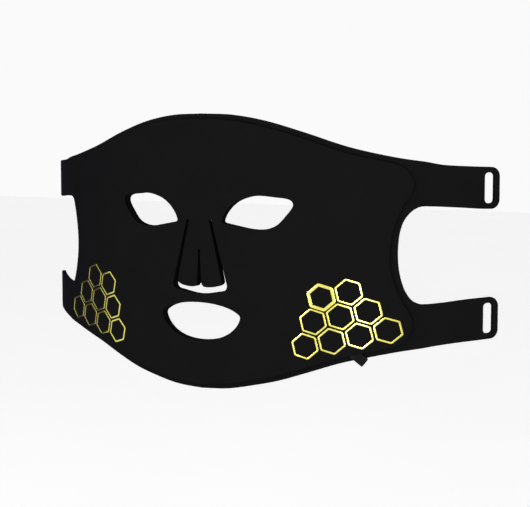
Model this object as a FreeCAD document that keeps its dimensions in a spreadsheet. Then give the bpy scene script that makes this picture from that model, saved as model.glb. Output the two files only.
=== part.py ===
import FreeCAD, Part
import math
import os

V = FreeCAD.Vector
Rotation = FreeCAD.Rotation
Placement = FreeCAD.Placement

# Flexible LED face mask. +Z up, +X to the wearer's left, -Y is the outer face.
# Origin: on the outer face, on the centre line, at mid height.
# s is the distance along the outer face from the centre line,
# d is the depth below the outer face towards the skin.

SIZES = [
    ("front_radius", 250.0),
    ("side_radius", 180.0),
    ("front_span", 140.0),
    ("sheet_height", 200.0),
    ("cover_thickness", 3.0),
    ("nose_thickness", 6.0),
    ("carrier_front", 3.1),
    ("carrier_back", 6.2),
    ("flex_front", 3.15),
    ("flex_thickness", 0.2),
    ("flex_pocket_depth", 3.45),
    ("liner_front", 5.0),
    ("liner_pocket_front", 4.95),
    ("lens_diameter", 4.8),
    ("lens_rise", 0.6),
    ("led_hole", 5.6),
    ("led_width", 2.8),
    ("led_height", 3.5),
    ("led_thickness", 0.8),
    ("led_column", 19.0),
    ("led_row", 21.0),
    ("arm_hinge", 152.0),
    ("arm_end", 206.3),
    ("arm_corner", 6.0),
    ("root_gap", 0.3),
    ("slot_inner", 194.8),
    ("slot_outer", 202.1),
    ("slot_height", 20.0),
    ("slot_corner", 2.6),
    ("upper_slot_centre", 43.7),
    ("lower_slot_centre", -41.6),
    ("tongue_hinge", 19.8),
    ("flap_hinge", 2.0),
    ("flap_bottom", -21.2),
    ("flap_round", 1.45),
    ("slit_top", 1.2),
    ("slit_bottom", 3.2),
    ("hex_pitch", 16.85),
    ("hex_tilt", 12.7),
    ("hex_radius", 8.4),
    ("hex_line", 1.15),
    ("hex_key_line", 2.0),
    ("hex_rise", 0.45),
    ("hex_first_x", 84.1),
    ("hex_first_z", -26.5),
    ("port_s", 114.3),
    ("port_z", -69.3),
    ("port_tilt", 39.4),
    ("port_depth", 3.1),
    ("port_width", 5.0),
    ("port_length", 14.0),
    ("port_wall", 1.9),
    ("port_bore", 1.25),
    ("port_sleeve", 10.0),
    ("board_s", 90.0),
    ("board_z", -55.5),
    ("board_length", 20.0),
    ("board_height", 11.0),
    ("board_thickness", 0.4),
    ("chip_length", 4.9),
    ("chip_height", 3.9),
    ("chip_thickness", 0.9),
    ("lead_radius", 0.4),
]

# Half outlines on the front projection (x, z), from the crown down to the chin.
CARRIER_TOP = [(0, 92.0), (22, 91.2), (45, 87.4), (70, 80.1), (99, 70.2), (126, 63.6),
               (145, 60.6), (165, 58.4)]
EAR_NOTCH = [(165, 31.9), (146, 32.2), (139, 32.0), (135.6, 30.4), (132.4, 27.2),
             (129.8, 23.0), (127.8, 16.5), (126.8, 8.5), (126.6, 0.0), (127.2, -8.5),
             (128.6, -16.0), (131.0, -23.2), (134.4, -28.5), (138.6, -31.0),
             (146, -31.2), (165, -30.4)]
CARRIER_BOTTOM = [(165, -57.2), (145, -59.3), (128, -62.1), (112, -65.5), (94, -69.9),
                  (73, -77.0), (55, -82.9), (38, -86.9), (20, -90.3), (0, -91.6)]
COVER_HALF = [(0, 88.6), (22, 87.8), (45, 84.0), (70, 76.8), (97, 67.4), (113, 63.2),
              (125, 60.6), (131.6, 57.4), (135.8, 52.2), (137.5, 45.5), (136.0, 39.8),
              (131.6, 32.6), (127.6, 21.6), (125.0, 9.5), (124.2, -1.0), (125.2, -10.5),
              (127.8, -20.5), (131.6, -29.6), (135.8, -37.6), (137.2, -44.5),
              (135.3, -52.0), (130.4, -57.4), (122, -59.9), (104, -64.2), (88, -68.8),
              (71, -74.7), (55, -79.7), (38, -83.6), (20, -86.9), (0, -88.3)]
EYE = [(16.8, 20.4), (18.7, 25.0), (22.3, 29.8), (27.4, 34.0), (33.2, 36.6), (42.6, 38.5),
       (54.7, 37.6), (62.0, 36.8), (65.5, 35.4), (66.4, 33.0), (65.0, 30.2),
       (61.2, 25.4), (56.2, 20.0), (50.8, 17.4), (44.5, 16.3), (38.0, 16.6),
       (27.5, 18.4)]
MOUTH = [(31.0, -41.2), (24.5, -37.3), (14.0, -34.4), (0, -33.3), (-14.0, -34.4),
         (-24.5, -37.3), (-31.0, -41.2), (-28.8, -46.8), (-23.0, -52.6),
         (-13.5, -56.9), (0, -58.6), (13.5, -56.9), (23.0, -52.6), (28.8, -46.8)]
NOSE = [(-9.6, 21.8), (9.6, 21.8), (21.9, -24.4), (0, -28.2), (-21.9, -24.4)]
NOSE_CORNERS = [0.5, 0.5, 3.5, 40.0, 3.5]
HEX_CELLS = [(0, 0), (1, 0), (0, 1), (1, 1), (2, 1), (0, 2), (1, 2), (2, 2), (3, 2)]


def build_sheet(doc):
    sheet = doc.addObject("Spreadsheet::Sheet", "Sheet")
    for row, (name, value) in enumerate(SIZES, start=1):
        sheet.set("A%d" % row, name)
        sheet.set("B%d" % row, str(value))
        sheet.setAlias("B%d" % row, name)
    doc.recompute()
    return {name: float(sheet.get(name)) for name, value in SIZES}


doc = FreeCAD.newDocument("led_face_mask")
D = build_sheet(doc)
R1 = D["front_radius"]
R2 = D["side_radius"]
TURN = D["front_span"] / R1


# ---- plan profile -------------------------------------------------------

def plan_angle(s):
    q = abs(s)
    if q <= D["front_span"]:
        a = q / R1
    else:
        a = TURN + (q - D["front_span"]) / R2
    return math.copysign(a, s)


def plan(s, d):
    a = abs(plan_angle(s))
    if abs(s) <= D["front_span"]:
        x = (R1 - d) * math.sin(a)
        y = R1 - (R1 - d) * math.cos(a)
    else:
        x = (R1 - R2) * math.sin(TURN) + (R2 - d) * math.sin(a)
        y = R1 - (R1 - R2) * math.cos(TURN) - (R2 - d) * math.cos(a)
    return V(math.copysign(x, s), y, 0)


def plan_path(s0, s1, d):
    span = D["front_span"]
    stops = [s0] + [b for b in (-span, span) if min(s0, s1) < b < max(s0, s1)] + [s1]
    if s1 < s0:
        stops = [s0] + sorted(stops[1:-1], reverse=True) + [s1]
    return [Part.Arc(plan(a, d), plan((a + b) / 2, d), plan(b, d))
            for a, b in zip(stops, stops[1:])]


def band(s0, s1, d0, d1):
    """Closed plan outline of a sheet between two depths."""
    return (plan_path(s0, s1, d0)
            + [Part.LineSegment(plan(s1, d0), plan(s1, d1))]
            + plan_path(s1, s0, d1)
            + [Part.LineSegment(plan(s0, d1), plan(s0, d0))])


def tangent(s, d):
    """Sketch offset on the XZ plane: local x along the sheet, normal outwards."""
    p = plan(s, d)
    turn = Rotation(V(0, 1, 0), math.degrees(plan_angle(s)))
    return Placement(V(p.x, 0, -p.y), turn)


# ---- outline helpers ----------------------------------------------------

def mirrored(half):
    """Close a half outline that starts and ends on the centre line."""
    return half + [(-x, z) for x, z in reversed(half[1:-1])]


def flip(points):
    return [(-x, z) for x, z in reversed(points)]


def signed_area(points):
    pairs = zip(points, points[1:] + points[:1])
    return sum(a[0] * b[1] - b[0] * a[1] for a, b in pairs) / 2


def grow(points, amount):
    """Move a closed outline outwards by amount, corner by corner."""
    side = math.copysign(1, signed_area(points))
    out = []
    n = len(points)
    for i, p in enumerate(points):
        a = V(p[0] - points[i - 1][0], p[1] - points[i - 1][1], 0).normalize()
        b = points[(i + 1) % n]
        b = V(b[0] - p[0], b[1] - p[1], 0).normalize()
        na = V(a.y, -a.x, 0) * side
        nb = V(b.y, -b.x, 0) * side
        m = (na + nb).normalize()
        reach = amount / max(0.9, m.dot(na))
        out.append((p[0] + m.x * reach, p[1] + m.y * reach))
    return out


def curve(points, closed=False):
    c = Part.BSplineCurve()
    c.interpolate(Points=[V(x, z, 0) for x, z in points], PeriodicFlag=closed)
    return c


def smooth(points, breaks=()):
    """Closed outline of curves that meet in corners at the listed points."""
    if not breaks:
        return [curve(points, True)]
    ring = list(breaks) + [breaks[0] + len(points)]
    doubled = points + points
    return [curve(doubled[a:b + 1]) for a, b in zip(ring, ring[1:])]


def rounded(points, radii):
    """Closed outline of straight lines with rounded corners."""
    if not isinstance(radii, list):
        radii = [radii] * len(points)
    n = len(points)
    corners = []
    for i, (x, z) in enumerate(points):
        p = V(x, z, 0)
        u = (V(points[i - 1][0], points[i - 1][1], 0) - p).normalize()
        w = (V(points[(i + 1) % n][0], points[(i + 1) % n][1], 0) - p).normalize()
        half = u.getAngle(w) / 2
        r = radii[i]
        m = (u + w).normalize()
        start = p + u * (r / math.tan(half))
        end = p + w * (r / math.tan(half))
        middle = p + m * (r / math.sin(half) - r)
        corners.append((start, middle, end))
    edges = []
    for i, (start, middle, end) in enumerate(corners):
        if radii[i] > 0:
            edges.append(Part.Arc(start, middle, end))
        edges.append(Part.LineSegment(end, corners[(i + 1) % n][0]))
    return edges


def rectangle(x0, z0, x1, z1):
    p = [V(x0, z0, 0), V(x1, z0, 0), V(x1, z1, 0), V(x0, z1, 0)]
    return [Part.LineSegment(p[i], p[(i + 1) % 4]) for i in range(4)]


def circle(x, z, r):
    return [Part.Circle(V(x, z, 0), V(0, 0, 1), r)]


def distance_to(points, x, z):
    best = 1e9
    for (ax, az), (bx, bz) in zip(points, points[1:] + points[:1]):
        dx, dz = bx - ax, bz - az
        t = ((x - ax) * dx + (z - az) * dz) / (dx * dx + dz * dz)
        t = min(1, max(0, t))
        best = min(best, math.hypot(ax + t * dx - x, az + t * dz - z))
    return best


def inside(points, x, z):
    odd = False
    for (ax, az), (bx, bz) in zip(points, points[1:] + points[:1]):
        if (az > z) != (bz > z) and x < ax + (z - az) * (bx - ax) / (bz - az):
            odd = not odd
    return odd


# ---- features -----------------------------------------------------------

def new_body(name):
    return doc.addObject("PartDesign::Body", name)


def sketch(body, name, role, edges, offset=None):
    sk = body.newObject("Sketcher::SketchObject", name)
    plane = [f for f in body.Origin.OriginFeatures if f.Role == role][0]
    sk.AttachmentSupport = (plane, "")
    sk.MapMode = "FlatFace"
    if offset is not None:
        sk.AttachmentOffset = offset
    for edge in edges:
        sk.addGeometry(edge, False)
    return sk


def pad(body, name, profile, length):
    feature = body.newObject("PartDesign::Pad", name)
    feature.Profile = profile
    feature.setExpression("Length", length)
    profile.Visibility = False
    return feature


def pocket(body, name, profile, length=None):
    feature = body.newObject("PartDesign::Pocket", name)
    feature.Profile = profile
    if length is None:
        feature.Type = 1
    else:
        feature.setExpression("Length", length)
    profile.Visibility = False
    return feature


def sheet_body(name, span, depths, outline, holes=()):
    """A bent sheet cut to an outline on the front projection."""
    body = new_body(name)
    low = Placement(V(0, 0, -D["sheet_height"] / 2), Rotation())
    sk = sketch(body, name + "_plan", "XY_Plane", band(span[0], span[1], *depths), low)
    pad(body, name + "_sheet", sk, "Sheet.sheet_height")
    frame = rectangle(-260, -130, 260, 130)
    sk = sketch(body, name + "_edge", "XZ_Plane", frame + outline)
    pocket(body, name + "_trim", sk)
    if holes:
        sk = sketch(body, name + "_holes", "XZ_Plane", list(holes))
        pocket(body, name + "_openings", sk)
    return body


def cut(name, base, tools):
    for i, tool in enumerate(tools):
        feature = doc.addObject("Part::Cut", "%s_cut%d" % (name, i))
        feature.Base = base
        feature.Tool = tool
        base = feature
    return base


def openings(eye=0.0, nose=0.0, mouth=0.0):
    eye_points = grow(EYE, eye)
    return (smooth(eye_points, [0])
            + smooth(flip(eye_points), [len(EYE) - 1])
            + rounded(grow(NOSE, nose), NOSE_CORNERS)
            + smooth(grow(MOUTH, mouth), [0, 6]))


def box_in_frame(name, frame, low, expressions):
    """A box whose low corner is given in a local frame."""
    box = doc.addObject("Part::Box", name)
    for side, text in zip(("Length", "Width", "Height"), expressions):
        box.setExpression(side, text)
    box.Placement = frame.multiply(Placement(V(*low), Rotation()))
    return box


def wall_frame(s, z, d, tilt=0.0):
    """Frame on the sheet: x along it (turned down by tilt), y inwards, z up."""
    p = plan(s, d)
    turn = Rotation(V(0, 0, 1), math.degrees(plan_angle(s)))
    return Placement(V(p.x, p.y, z), turn.multiply(Rotation(V(0, 1, 0), tilt)))


# ---- outlines in use ----------------------------------------------------

carrier_points = (CARRIER_TOP + EAR_NOTCH + CARRIER_BOTTOM
                  + [(-x, z) for x, z in reversed(CARRIER_BOTTOM[:-1])]
                  + [(-x, z) for x, z in reversed(EAR_NOTCH)]
                  + [(-x, z) for x, z in reversed(CARRIER_TOP[1:])])


def carrier_outline():
    top = flip(CARRIER_TOP)[:-1] + CARRIER_TOP
    bottom = CARRIER_BOTTOM[:-1] + flip(CARRIER_BOTTOM)
    side = EAR_NOTCH
    other = flip(EAR_NOTCH)
    edges = [curve(top), curve(side), curve(bottom), curve(other)]
    ends = [(top[-1], side[0]), (side[-1], bottom[0]),
            (bottom[-1], other[0]), (other[-1], top[0])]
    for a, b in ends:
        edges.append(Part.LineSegment(V(a[0], a[1], 0), V(b[0], b[1], 0)))
    return edges


cover_points = mirrored(COVER_HALF)
flex_points = grow(cover_points, -3.5)
liner_points = grow(cover_points, -2.5)
board_hole = [D["board_s"] - D["board_length"] / 2 - 1.0,
              D["board_z"] - D["board_height"] / 2 - 1.0,
              D["board_s"] + D["board_length"] / 2 + 1.0,
              D["board_z"] + D["board_height"] / 2 + 1.0]


def led_positions():
    """Columns of (s, [z, ...], kind); kinds alternate along each column."""
    columns = []
    pitch = D["led_column"]
    clear = grow(cover_points, -9.0)
    gaps = [grow(EYE, 3.5), flip(grow(EYE, 3.5)), grow(NOSE, 3.0), grow(MOUTH, 3.5)]
    count = int(130 / pitch)
    for i in range(-count, count + 1):
        s = i * pitch
        x = plan(s, D["carrier_front"]).x
        zs = []
        for k in range(-5, 6):
            z = k * D["led_row"] + (D["led_row"] / 2 if i % 2 else 0.0) - 3.0
            if not inside(clear, x, z):
                continue
            if any(inside(g, x, z) or distance_to(g, x, z) < 2.0 for g in gaps):
                continue
            if board_hole[0] - 5 < s < board_hole[2] + 12 and z < board_hole[3] + 5:
                continue
            zs.append((z, (k + i) % 2))
        if zs:
            columns.append((s, zs))
    return columns


COLUMNS = led_positions()


# ---- mask body ----------------------------------------------------------

def make_port_tools(name):
    """Room for the inlet housing in a layer."""
    frame = wall_frame(D["port_s"], D["port_z"], D["port_depth"], D["port_tilt"])
    half = D["port_width"] / 2 + 0.15
    low = (-D["port_length"] - 0.3, -half, -half)
    sizes = ("Sheet.port_length + 6", "Sheet.port_width + 0.3", "Sheet.port_width + 0.3")
    return box_in_frame(name, frame, low, sizes)


def make_cover():
    body = sheet_body("cover_sheet", (-150, 150), (0, D["cover_thickness"]),
                      smooth(cover_points), openings())
    return cut("front_cover", body, [make_port_tools("cover_port_room")])


def make_carrier():
    end = D["arm_hinge"] - D["cover_thickness"] / 2 - D["root_gap"]
    depths = (D["carrier_front"], D["carrier_back"])
    body = sheet_body("carrier_sheet", (-end, end), depths, carrier_outline(),
                      openings())
    for i, (s, zs) in enumerate(COLUMNS):
        holes = []
        for z, kind in zs:
            holes += circle(0, z, D["led_hole"] / 2)
        sk = sketch(body, "window_rows%d" % i, "XZ_Plane", holes,
                    tangent(s, D["carrier_front"] - 0.5))
        pocket(body, "windows%d" % i, sk, "Sheet.carrier_back - Sheet.carrier_front + 1")
    flex_room = sheet_body("flex_room", (-150, 150),
                           (D["carrier_front"] - 0.05, D["flex_pocket_depth"]),
                           smooth(grow(flex_points, 0.4)), openings(2.8, 1.6, 2.8))
    liner_room = sheet_body("liner_room", (-150, 150),
                            (D["liner_pocket_front"], D["carrier_back"] + 0.5),
                            smooth(grow(liner_points, 0.3)), openings(2.7, 1.3, 2.7))
    # The holes above are islands of the pockets, so the rims round the openings stay.
    board_room = board_box("board_room", D["flex_pocket_depth"] - 0.2, 1.0,
                           "Sheet.liner_front - Sheet.flex_pocket_depth + 0.25", 1.0)
    tools = [flex_room, liner_room, board_room, make_port_tools("carrier_port_room"),
             make_lead("lead_room_a", -3.4, " + 0.2"),
             make_lead("lead_room_b", -1.6, " + 0.2")]
    return cut("carrier_shell", body, tools)


def board_box(name, depth, margin, thickness, grow_by=0.0):
    frame = wall_frame(D["board_s"], D["board_z"], depth)
    low = (-D["board_length"] / 2 - grow_by, 0, -D["board_height"] / 2 - grow_by)
    extra = " + %g" % (2 * grow_by) if grow_by else ""
    sizes = ("Sheet.board_length" + extra, thickness, "Sheet.board_height" + extra)
    return box_in_frame(name, frame, low, sizes)


def make_liner():
    body = sheet_body("liner_sheet", (-150, 150), (D["liner_front"], D["carrier_back"]),
                      smooth(liner_points), openings(3.0, 1.6, 3.0))
    for i, (s, zs) in enumerate(COLUMNS):
        discs = []
        for z, kind in zs:
            discs += circle(0, z, D["lens_diameter"] / 2)
        sk = sketch(body, "lens_rows%d" % i, "XZ_Plane", discs,
                    tangent(s, D["carrier_back"] + D["lens_rise"]))
        pad(body, "lenses%d" % i, sk, "Sheet.lens_rise + 0.2")
    return cut("skin_liner", body, [make_port_tools("liner_port_room")])


def make_flex():
    depths = (D["flex_front"], D["flex_front"] + D["flex_thickness"])
    body = sheet_body("flex_sheet", (-150, 150), depths, smooth(flex_points),
                      openings(3.2, 2.0, 3.2))
    return cut("led_flex", body, [make_port_tools("flex_port_room")])


def make_leds(name, kind):
    body = new_body(name)
    body.AllowCompound = True
    w, h = D["led_width"] / 2, D["led_height"] / 2
    depth = D["flex_front"] + D["flex_thickness"] + D["led_thickness"]
    for i, (s, zs) in enumerate(COLUMNS):
        chips = []
        for z, own in zs:
            if own == kind:
                chips += rectangle(-w, z - h, w, z + h)
        if not chips:
            continue
        sk = sketch(body, "%s_row%d" % (name, i), "XZ_Plane", chips, tangent(s, depth))
        pad(body, "%s_pad%d" % (name, i), sk, "Sheet.led_thickness - 0.01")
    return body


# ---- honeycomb trims ----------------------------------------------------

def hexagon(x, z, radius, side):
    points = []
    for q in range(6):
        a = math.radians(D["hex_tilt"] + 90 - 60 * q)
        points.append(V(side * (x + radius * math.cos(a)), z + radius * math.sin(a), 0))
    return [Part.LineSegment(points[i], points[(i + 1) % 6]) for i in range(6)]


def make_trim(name, side):
    tilt = math.radians(D["hex_tilt"])
    down = tilt - math.radians(120)
    pitch = D["hex_pitch"]
    rings = []
    for cell, (i, j) in enumerate(HEX_CELLS):
        x = D["hex_first_x"] + pitch * (i * math.cos(tilt) + j * math.cos(down))
        z = D["hex_first_z"] + pitch * (i * math.sin(tilt) + j * math.sin(down))
        line = D["hex_key_line"] if cell == 0 and side > 0 else D["hex_line"]
        rings += hexagon(x, z, D["hex_radius"] + line / 1.732, side)
        rings += hexagon(x, z, D["hex_radius"] - line / 1.732, side)
    body = new_body(name)
    body.AllowCompound = True
    low = Placement(V(0, 0, -80), Rotation())
    ends = sorted((side * 50, side * 138))
    sk = sketch(body, name + "_plan", "XY_Plane",
                band(ends[0], ends[1], -D["hex_rise"], 0.0), low)
    pad(body, name + "_skin", sk, "Sheet.sheet_height / 2")
    sk = sketch(body, name + "_cells", "XZ_Plane",
                rectangle(-260, -130, 260, 130) + rings, Placement(V(0, 0, 5), Rotation()))
    pocket(body, name + "_cut", sk)
    return body


# ---- strap arms ---------------------------------------------------------

ARM_EDGES = {
    "upper": [(152.0, 60.6), (165.0, 58.95), (182.0, 57.9), (206.3, 57.2),
              (206.3, 30.0), (195.0, 30.1), (175.0, 31.4), (152.0, 32.2)],
    "lower": [(152.0, -31.2), (165.0, -30.5), (182.0, -28.7), (206.3, -27.6),
              (206.3, -55.3), (193.0, -55.8), (175.0, -57.1), (152.0, -60.0)],
}


def arm_outline(level, side, s_ref):
    """Arm outline in the plane tangent to the arm at s_ref."""
    a = plan_angle(s_ref)
    d = (D["carrier_front"] + D["carrier_back"]) / 2
    origin = plan(s_ref, d)
    along = V(math.cos(a), math.sin(a), 0)

    def t(s):
        return side * (plan(s, d) - origin).dot(along)

    edge = ARM_EDGES[level]
    first = (t(147.0), edge[0][1])
    last = (t(147.0), edge[-1][1])
    top = [(t(s), z) for s, z in edge[:4]]
    bottom = [(t(s), z) for s, z in edge[4:]]
    points = [first] + top[1:] + bottom[:-1] + [last]
    r = D["arm_corner"]
    return rounded(points, [0, 60.0, 60.0, r, r, 60.0, 60.0, 0]), t


def make_arm(name, level, side):
    body = new_body(name)
    hinge = D["arm_hinge"]
    depths = (D["carrier_front"], D["carrier_back"])
    root = hinge - D["flap_round"]
    ends = sorted((side * root, side * D["arm_end"]))
    low = Placement(V(0, 0, -D["sheet_height"] / 2), Rotation())
    sk = sketch(body, name + "_plan", "XY_Plane",
                band(ends[0], ends[1], *depths), low)
    pad(body, name + "_sheet", sk, "Sheet.sheet_height")
    s_ref = (D["slot_inner"] + D["slot_outer"]) / 2
    outline, t = arm_outline(level, side, s_ref)
    plane = tangent(side * s_ref, -40.0)
    sk = sketch(body, name + "_edge", "XZ_Plane",
                rectangle(-160, -130, 160, 130) + outline, plane)
    pocket(body, name + "_trim", sk, "Sheet.sheet_height / 2")
    centre = D[level + "_slot_centre"]
    half = D["slot_height"] / 2
    a, b = sorted((t(D["slot_inner"]), t(D["slot_outer"])))
    slot = rounded([(a, centre - half), (b, centre - half),
                    (b, centre + half), (a, centre + half)], D["slot_corner"])
    sk = sketch(body, name + "_slot", "XZ_Plane", slot, tangent(side * s_ref, -10.0))
    pocket(body, name + "_slot_cut", sk, "Sheet.arm_corner * 4")
    doc.recompute()
    round_root(body, name, root * side, depths)
    return body


def round_root(body, name, s, depths):
    """Rounds the hinged end so that it can turn in its gap."""
    tip = body.Tip
    wanted = [plan(s, d) for d in depths]
    names = []
    for i, edge in enumerate(tip.Shape.Edges, start=1):
        ends = [v.Point for v in edge.Vertexes]
        if len(ends) != 2 or abs(ends[0].z - ends[1].z) < 15:
            continue
        if any(all(math.hypot(p.x - w.x, p.y - w.y) < 0.05 for p in ends) for w in wanted):
            names.append("Edge%d" % i)
    feature = body.newObject("PartDesign::Fillet", name + "_root")
    feature.Base = (tip, names)
    feature.setExpression("Radius", "Sheet.flap_round")


# ---- nose tongue and flaps ----------------------------------------------

def slit_x(z):
    """Outer edge of the tongue at height z."""
    return 8.28 + (20.0 - z) * 0.2212


def round_top(body, name, top):
    tip = body.Tip
    names = []
    for i, edge in enumerate(tip.Shape.Edges, start=1):
        box = edge.BoundBox
        if abs(box.ZMin - top) < 0.02 and abs(box.ZMax - top) < 0.02 and box.XLength > 3:
            names.append("Edge%d" % i)
    feature = body.newObject("PartDesign::Fillet", name + "_root")
    feature.Base = (tip, names)
    feature.setExpression("Radius", "Sheet.flap_round")


def make_tongue():
    top = D["tongue_hinge"] + D["flap_round"] + 0.05
    low = D["flap_hinge"] + D["flap_round"] + 0.5
    points = [(-slit_x(top), top), (slit_x(top), top), (slit_x(low), low),
              (-slit_x(low), low)]
    body = sheet_body("nose_tongue", (-40, 40), (0, D["nose_thickness"]),
                      rounded(points, 0))
    doc.recompute()
    round_top(body, "nose_tongue", top)
    return body


def make_flap(name, side):
    top = D["flap_hinge"] + D["flap_round"] + 0.05
    low = D["flap_bottom"]
    points = [(side * D["slit_top"] / 2, top), (side * slit_x(top), top),
              (side * slit_x(low), low), (side * D["slit_bottom"] / 2, low)]
    body = sheet_body(name, (-40, 40), (0, D["nose_thickness"]),
                      rounded(points, [0, 0, 4.0, 1.6]))
    doc.recompute()
    round_top(body, name, top)
    return body


# ---- power inlet and driver ---------------------------------------------

def cylinder(name, frame, start, radius, length):
    """Cylinder along the local x axis of a frame."""
    item = doc.addObject("Part::Cylinder", name)
    item.setExpression("Radius", radius)
    item.setExpression("Height", length)
    item.Placement = frame.multiply(Placement(V(*start), Rotation(V(0, 1, 0), 90)))
    return item


def make_port():
    frame = wall_frame(D["port_s"], D["port_z"], D["port_depth"], D["port_tilt"])
    half = D["port_width"] / 2
    block = box_in_frame("port_block", frame, (-D["port_length"], -half, -half),
                         ("Sheet.port_length", "Sheet.port_width", "Sheet.port_width"))
    hole = cylinder("port_hole", frame, (-D["port_sleeve"] - 2.0, 0, 0),
                    "Sheet.port_wall", "Sheet.port_sleeve + 3")
    housing = cut("port_housing", block, [hole])
    outer = cylinder("sleeve_outer", frame, (-D["port_sleeve"], 0, 0),
                     "Sheet.port_wall", "Sheet.port_sleeve")
    inner = cylinder("sleeve_inner", frame, (-D["port_sleeve"] - 1.0, 0, 0),
                     "Sheet.port_bore", "Sheet.port_sleeve + 2")
    sleeve = cut("port_sleeve", outer, [inner])
    contact = cylinder("port_contact", frame, (-D["port_sleeve"] - 1.9, 0, 0),
                       "Sheet.port_bore - 0.15", "Sheet.port_bore + 0.25")
    return housing, sleeve, contact


def make_board():
    depth = D["flex_front"] + D["flex_thickness"] + 0.27
    board = board_box("driver_board", depth, 0.0, "Sheet.board_thickness")
    back = depth + D["board_thickness"]
    frame = wall_frame(D["board_s"], D["board_z"], back)
    chip = box_in_frame("driver_chip", frame, (-7.5, 0, -1.9),
                        ("Sheet.chip_length", "Sheet.chip_thickness",
                         "Sheet.chip_height"))
    resistors = []
    for i in range(4):
        low = (-0.5 + 2.2 * i, 0, 1.2)
        resistors.append(box_in_frame("resistor%d" % i, frame, low,
                                      ("Sheet.board_thickness * 2", "0.5 mm",
                                       "Sheet.board_thickness * 4")))
    group = doc.addObject("Part::MultiFuse", "board_resistors")
    group.Shapes = resistors
    coil = box_in_frame("board_inductor", frame, (0.4, 0, -4.2),
                        ("Sheet.chip_height", "Sheet.chip_thickness", "Sheet.chip_height"))
    return board, chip, group, coil


def make_lead(name, offset, room=""):
    """One short lead from the inlet to its pad on the board."""
    frame = wall_frame(D["board_s"], D["board_z"], D["port_depth"] + 1.4)
    start = V(D["board_length"] / 2 - 3.6, 0, offset)
    inlet = wall_frame(D["port_s"], D["port_z"], D["port_depth"] + 1.5, D["port_tilt"])
    first = frame.multVec(start)
    last = inlet.multVec(V(-D["port_length"] - 0.15, 0, (offset + 2.5) * 0.8))
    item = doc.addObject("Part::Cylinder", name)
    item.setExpression("Radius", "Sheet.lead_radius" + room)
    item.Height = (last - first).Length
    item.Placement = Placement(first, Rotation(V(0, 0, 1), last - first))
    return item


def main():
    nodes = {}
    nodes["front_cover"] = make_cover()
    nodes["carrier_shell"] = make_carrier()
    nodes["skin_liner"] = make_liner()
    nodes["led_flex"] = make_flex()
    nodes["leds_red"] = make_leds("leds_red", 0)
    nodes["leds_infrared"] = make_leds("leds_infrared", 1)
    nodes["honeycomb_left"] = make_trim("honeycomb_left", 1)
    nodes["honeycomb_right"] = make_trim("honeycomb_right", -1)
    for level in ("upper", "lower"):
        for hand, side in (("left", 1), ("right", -1)):
            name = "strap_arm_%s_%s" % (level, hand)
            nodes[name] = make_arm(name, level, side)
    nodes["nose_tongue"] = make_tongue()
    nodes["nose_flap_left"] = make_flap("nose_flap_left", 1)
    nodes["nose_flap_right"] = make_flap("nose_flap_right", -1)
    names = ("port_housing", "port_sleeve", "port_contact")
    nodes.update(zip(names, make_port()))
    names = ("driver_board", "driver_chip", "board_resistors", "board_inductor")
    nodes.update(zip(names, make_board()))
    nodes["lead_positive"] = make_lead("lead_positive", -3.4)
    nodes["lead_negative"] = make_lead("lead_negative", -1.6)
    doc.recompute()
    bad = [o.Name for o in doc.Objects if {"Invalid", "Error"} & set(o.State)]
    if bad:
        raise RuntimeError("objects in error: " + ", ".join(bad))
    os.makedirs("parts", exist_ok=True)
    for node, item in nodes.items():
        item.Label = node
        shape = item.Shape
        if shape.isNull() or not shape.isValid():
            raise RuntimeError("bad shape: " + node)
        shape.exportStep("parts/%s.step" % node)
        print(node, len(shape.Solids), round(shape.Volume, 1))


main()
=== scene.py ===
import bpy
import bmesh
import math
import numpy as np
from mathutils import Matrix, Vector
from mathutils.geometry import delaunay_2d_cdt


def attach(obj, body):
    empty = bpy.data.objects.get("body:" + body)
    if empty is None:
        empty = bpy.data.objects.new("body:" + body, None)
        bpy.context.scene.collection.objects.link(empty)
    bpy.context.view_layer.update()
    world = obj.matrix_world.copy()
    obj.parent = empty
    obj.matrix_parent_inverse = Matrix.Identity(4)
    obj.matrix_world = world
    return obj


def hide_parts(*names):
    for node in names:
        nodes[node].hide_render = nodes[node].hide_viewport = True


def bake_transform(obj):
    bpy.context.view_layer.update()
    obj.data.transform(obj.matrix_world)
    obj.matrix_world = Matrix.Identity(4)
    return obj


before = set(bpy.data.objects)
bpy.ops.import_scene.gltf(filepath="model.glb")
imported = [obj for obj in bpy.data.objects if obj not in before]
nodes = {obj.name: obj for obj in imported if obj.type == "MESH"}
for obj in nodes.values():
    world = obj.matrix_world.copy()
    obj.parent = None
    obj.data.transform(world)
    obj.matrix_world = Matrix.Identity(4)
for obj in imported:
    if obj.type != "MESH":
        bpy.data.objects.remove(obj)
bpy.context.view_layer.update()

# Sizes in millimetres, in the part's own terms: s runs along the outer face from the
# centre line, d is the depth below the outer face towards the skin. COVER, CARRIER,
# LINER and WEB are the layers' depths, and MID is the middle of the carrier.
R1, R2, SPAN = 250.0, 180.0, 140.0
TURN = SPAN / R1
COVER = (0.0, 3.0)
CARRIER = (3.1, 6.2)
LINER = (5.0, 6.2)
WEB = (3.4, 4.93)
MID = 4.65
SEAM = 148.0
ARM_BEND = (148.3, 160.0)

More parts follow.
